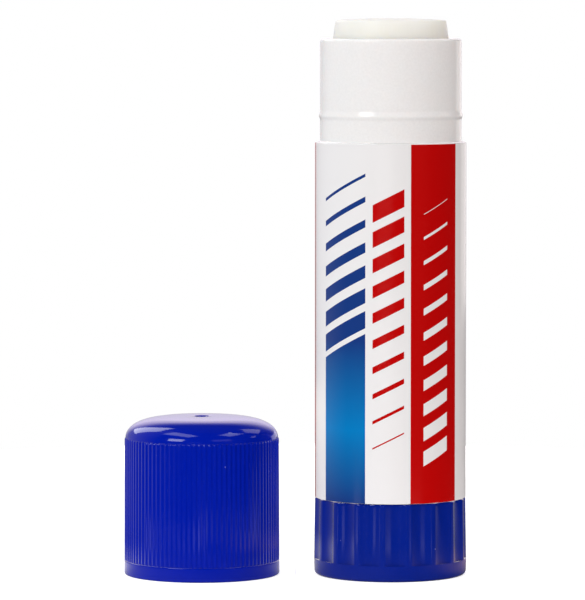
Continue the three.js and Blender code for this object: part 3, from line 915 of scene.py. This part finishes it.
class GLUESTICK_OT_stage(bpy.types.Operator):
    """Set up the floor, the lights and the camera"""

    bl_idname = "glue_stick.stage"
    bl_label = "Stage"

    def execute(self, context):
        self.add_floor(context.scene.glue_stick_finish.floor)
        self.add_world(context.scene)
        for softbox in SOFTBOXES:
            self.add_softbox(*softbox)
        self.add_card("card_to_cap", -1, "ffffff")
        self.add_card("card_to_stick", 1, "fff4d6")
        self.add_camera(context.scene)
        return {"FINISHED"}

    def add_floor(self, floor_colour):
        """A white studio floor that shows pure white, but keeps the shadow that the object casts."""
        bpy.ops.mesh.primitive_circle_add(
            vertices=96, radius=FLOOR_RADIUS, fill_type="NGON", location=(0, FLOOR_BACK, -0.02 * MM)
        )
        floor = bpy.context.object
        floor.name = "studio_floor"
        bpy.ops.object.transform_apply(location=True)
        material = new_material("matt_white_paper")
        where = add_node(material, "TexCoord").outputs["Object"]
        fibre = add_node(material, "TexNoise", {"Vector": where, "Scale": 1 / (0.4 * MM)})
        skin = add_node(material, "Bump", {"Height": fibre, "Strength": 0.1, "Distance": 0.02 * MM})
        # The paper glows white to the camera, more so towards its edge, where it meets the white backdrop.
        centred = add_node(material, "Mapping", {"Vector": where, "Location": (0, -FLOOR_BACK, 0)})
        off_middle = add_node(material, "VectorMath", {0: centred}, operation="LENGTH")
        glow = add_node(
            material,
            "MapRange",
            {
                "Value": off_middle,
                "From Min": FLOOR_RADIUS * 0.5,
                "From Max": FLOOR_RADIUS * 0.95,
                "To Min": 0.4,
                "To Max": 1.0,
            },
        )
        path = add_node(material, "LightPath")
        shown = add_node(material, "Math", {0: path.outputs["Is Camera Ray"], 1: glow}, operation="MULTIPLY")
        # The floor glows to gloss with a painted reflection: painted shade in front, painted light behind and
        # in a pool close to the cap and the stick.
        split = add_node(material, "SeparateXYZ", {"Vector": where})
        sides = add_node(material, "Math", {0: split.outputs["X"]}, operation="ABSOLUTE")
        off_axis = add_node(material, "Math", {0: sides, 1: STICK_X}, operation="SUBTRACT")
        from_axis = add_node(material, "CombineXYZ", {"X": off_axis, "Y": split.outputs["Y"]})
        away = add_node(material, "VectorMath", {0: from_axis}, operation="LENGTH")
        close = add_node(
            material,
            "MapRange",
            {"Value": away, "From Min": NEAR_START, "From Max": NEAR_END, "To Min": 1.0, "To Max": 0.0},
        )
        reach = {"From Min": -ACROSS_REACH, "From Max": ACROSS_REACH}
        back = add_node(material, "MapRange", {"Value": split.outputs["Y"], **reach})
        # At the right the painted light reaches further forward.
        rightward = add_node(material, "Math", {0: split.outputs["X"], 1: 0.0}, operation="MAXIMUM")
        back_close = add_node(
            material, "Math", {0: rightward, 1: NEAR_LEAD, 2: back}, operation="MULTIPLY_ADD"
        )
        across = add_node(material, "MapRange", {"Value": split.outputs["X"], **reach})
        far = add_node(material, "ValToRGB", {"Fac": back})
        set_stops(far.color_ramp, FLOOR_PAINTED_FAR)
        near = add_node(material, "ValToRGB", {"Fac": back_close})
        set_stops(near.color_ramp, FLOOR_PAINTED_NEAR)
        side = add_node(material, "ValToRGB", {"Fac": across})
        set_stops(side.color_ramp, FLOOR_PAINTED_TINT)
        painted_near_light = add_node(
            material, "Mix", {"Factor": 1.0, 6: near, 7: side}, data_type="RGBA", blend_type="MULTIPLY"
        )
        mirrored = add_node(material, "Mix", {"Factor": close, 6: far, 7: painted_near_light}, data_type="RGBA")
        # To gloss the paper itself is black and shows only the painted light and shade that it glows with.
        paper_colour = add_node(
            material,
            "Mix",
            {"Factor": path.outputs["Is Glossy Ray"], 6: floor_colour, 7: (0, 0, 0, 1)},
            data_type="RGBA",
        )
        painted_glow_colour = add_node(
            material,
            "Mix",
            {"Factor": path.outputs["Is Glossy Ray"], 6: floor_colour, 7: mirrored},
            data_type="RGBA",
        )
        glow_strength = add_node(
            material, "Math", {0: path.outputs["Is Glossy Ray"], 1: shown}, operation="MAXIMUM"
        )
        paper = add_node(
            material,
            "BsdfPrincipled",
            {
                "Base Color": paper_colour,
                "Roughness": 0.9,
                "Normal": skin,
                "Emission Color": painted_glow_colour,
                "Emission Strength": glow_strength,
            },
        )
        add_node(material, "OutputMaterial", {"Surface": paper})
        floor.data.materials.append(material)

    def add_world(self, scene):
        """A studio whose backdrop is white to the camera. The gloss sees it too, behind a dimmer room."""
        world = bpy.data.worlds.new("white_studio")
        scene.world = world
        world.use_nodes = True
        world.node_tree.nodes.clear()
        path = add_node(world, "LightPath")
        where = add_node(world, "TexCoord").outputs["Generated"]
        split = add_node(world, "SeparateXYZ", {"Vector": where})
        # The room is brightest behind the object and to its left.
        back_left = add_node(world, "VectorMath", {0: where, 1: (-0.5, 0.866, 0)}, operation="DOT_PRODUCT")
        depth = add_node(world, "MapRange", {"Value": back_left, "From Min": 0.2, "From Max": 0.9})
        room = add_node(
            world,
            "Mix",
            {"Factor": depth, 6: (0.01, 0.01, 0.01, 1), 7: (0.4, 0.37, 0.39, 1)},
            data_type="RGBA",
        )
        level_of_sight = add_node(
            world, "MapRange", {"Value": split.outputs["Z"], "From Min": -1.0, "From Max": 1.0}
        )
        height = add_node(world, "ValToRGB", {"Fac": level_of_sight})
        set_stops(height.color_ramp, BACKDROP)
        aside = add_node(world, "Math", {0: split.outputs["X"]}, operation="ABSOLUTE")
        across = add_node(
            world,
            "MapRange",
            {"Value": aside, "From Min": 0.2, "From Max": 0.5, "To Min": 1.0, "To Max": 0.0},
        )
        behind = add_node(world, "Math", {0: split.outputs["Y"], 1: 0.0}, operation="GREATER_THAN")
        backdrop = add_node(world, "Math", {0: across, 1: behind}, operation="MULTIPLY")
        mirrored = add_node(world, "Mix", {"Factor": backdrop, 6: room, 7: height}, data_type="RGBA")
        gloss = add_node(
            world,
            "Math",
            {0: path.outputs["Is Glossy Ray"], 1: path.outputs["Is Transmission Ray"]},
            operation="MAXIMUM",
        )
        light = add_node(
            world, "Mix", {"Factor": gloss, 6: (AMBIENT, AMBIENT, AMBIENT, 1), 7: mirrored}, data_type="RGBA"
        )
        shown = add_node(
            world,
            "Mix",
            {"Factor": path.outputs["Is Camera Ray"], 6: light, 7: (1, 1, 1, 1)},
            data_type="RGBA",
        )
        background = add_node(world, "Background", {"Color": shown, "Strength": 1.0})
        add_node(world, "OutputWorld", {"Surface": background})

    def add_softbox(self, name, azimuth, elevation, distance, width, height, brightness, tint, mirrored):
        """A rectangular softbox that faces the middle of the object."""
        azimuth, elevation = math.radians(azimuth), math.radians(elevation)
        middle = (cad_box[0] + cad_box[1]) / 2
        place = (
            middle.x + distance * math.sin(azimuth) * math.cos(elevation),
            middle.y - distance * math.cos(azimuth) * math.cos(elevation),
            middle.z + distance * math.sin(elevation),
        )
        power = brightness * math.pi**2 * distance**2
        self.add_lamp(name, place, middle, width, height, power, tint, mirrored)

    def add_card(self, name, side, tint):
        """A glowing card in the gap, which lights the cap or the stick where the other one shades it."""
        place = (side * 0.1 * MM, CARD_WIDTH / 4, CARD_HEIGHT / 2)
        power = CARD_GLOW * math.pi * CARD_WIDTH * CARD_HEIGHT
        faced = (side, CARD_WIDTH / 4, CARD_HEIGHT / 2)
        self.add_lamp(name, place, faced, CARD_WIDTH, CARD_HEIGHT, power, tint, False)

    def add_lamp(self, name, place, faced, width, height, power, tint, mirrored):
        """A rectangular lamp at a place, turned to the point it faces, which the camera doesn't see."""
        bpy.ops.object.light_add(type="AREA", location=place)
        lamp = bpy.context.object
        lamp.name = name
        lamp.data.shape = "RECTANGLE"
        lamp.data.size = width
        lamp.data.size_y = height
        lamp.data.energy = power
        lamp.data.color = linear(tint)[:3]
        lamp.visible_glossy = mirrored
        lamp.visible_camera = False
        lamp.rotation_euler = (Vector(faced) - lamp.location).to_track_quat("-Z", "Y").to_euler()

    def add_camera(self, scene):
        """A long lens in front of the pair, a little above the stick's tip and pitched down."""
        pixels_per_metre = 6310
        distance = 700 * MM
        pitch_down = math.radians(3.804)
        stick_pixel_x = 390.7
        camera_x = STICK_X - (stick_pixel_x - FRAME_WIDTH / 2) / pixels_per_metre
        bpy.ops.object.camera_add(
            location=(camera_x, -distance, 90.2 * MM), rotation=(math.pi / 2 - pitch_down, 0, 0)
        )
        camera = bpy.context.object
        camera.name = "long_lens"
        camera.data.sensor_width = 36
        camera.data.lens = pixels_per_metre * distance * camera.data.sensor_width / FRAME_HEIGHT
        camera.data.clip_start = 0.01
        scene.camera = camera


class GLUESTICK_PT_panel(bpy.types.Panel):
    """Sizes, colours and steps of the glue stick"""

    bl_idname = "GLUESTICK_PT_panel"
    bl_label = "Glue Stick"
    bl_space_type = "VIEW_3D"
    bl_region_type = "UI"
    bl_category = "Glue Stick"

    def draw(self, context):
        for operator in OPERATORS:
            box = self.layout.box()
            group = operator.bl_idname.replace(".", "_")
            if group in GROUPS:
                for name in GROUPS[group].__annotations__:
                    box.prop(getattr(context.scene, group), name)
            box.operator(operator.bl_idname)


GROUPS = {
    "glue_stick_cap": CapSettings,
    "glue_stick_knob": KnobSettings,
    "glue_stick_barrel": BarrelSettings,
    "glue_stick_label": LabelSettings,
    "glue_stick_glue": GlueSettings,
    "glue_stick_finish": FinishSettings,
}
OPERATORS = [
    GLUESTICK_OT_cap,
    GLUESTICK_OT_knob,
    GLUESTICK_OT_barrel,
    GLUESTICK_OT_label,
    GLUESTICK_OT_glue,
    GLUESTICK_OT_finish,
    GLUESTICK_OT_stage,
]
CLASSES = [*GROUPS.values(), *OPERATORS, GLUESTICK_PT_panel]


def register():
    for cls in CLASSES:
        bpy.utils.register_class(cls)
    for name, group in GROUPS.items():
        setattr(bpy.types.Scene, name, bpy.props.PointerProperty(type=group))


def unregister():
    for name in GROUPS:
        delattr(bpy.types.Scene, name)
    for cls in reversed(CLASSES):
        bpy.utils.unregister_class(cls)


def main():
    """Runs each step in order."""
    register()
    bpy.ops.glue_stick.cap()
    bpy.ops.glue_stick.knob()
    bpy.ops.glue_stick.barrel()
    bpy.ops.glue_stick.label()
    bpy.ops.glue_stick.glue()
    bpy.ops.glue_stick.finish()
    bpy.ops.glue_stick.stage()
    scene = bpy.context.scene
    scene.view_settings.view_transform = "Standard"


if __name__ == "__main__":
    main()
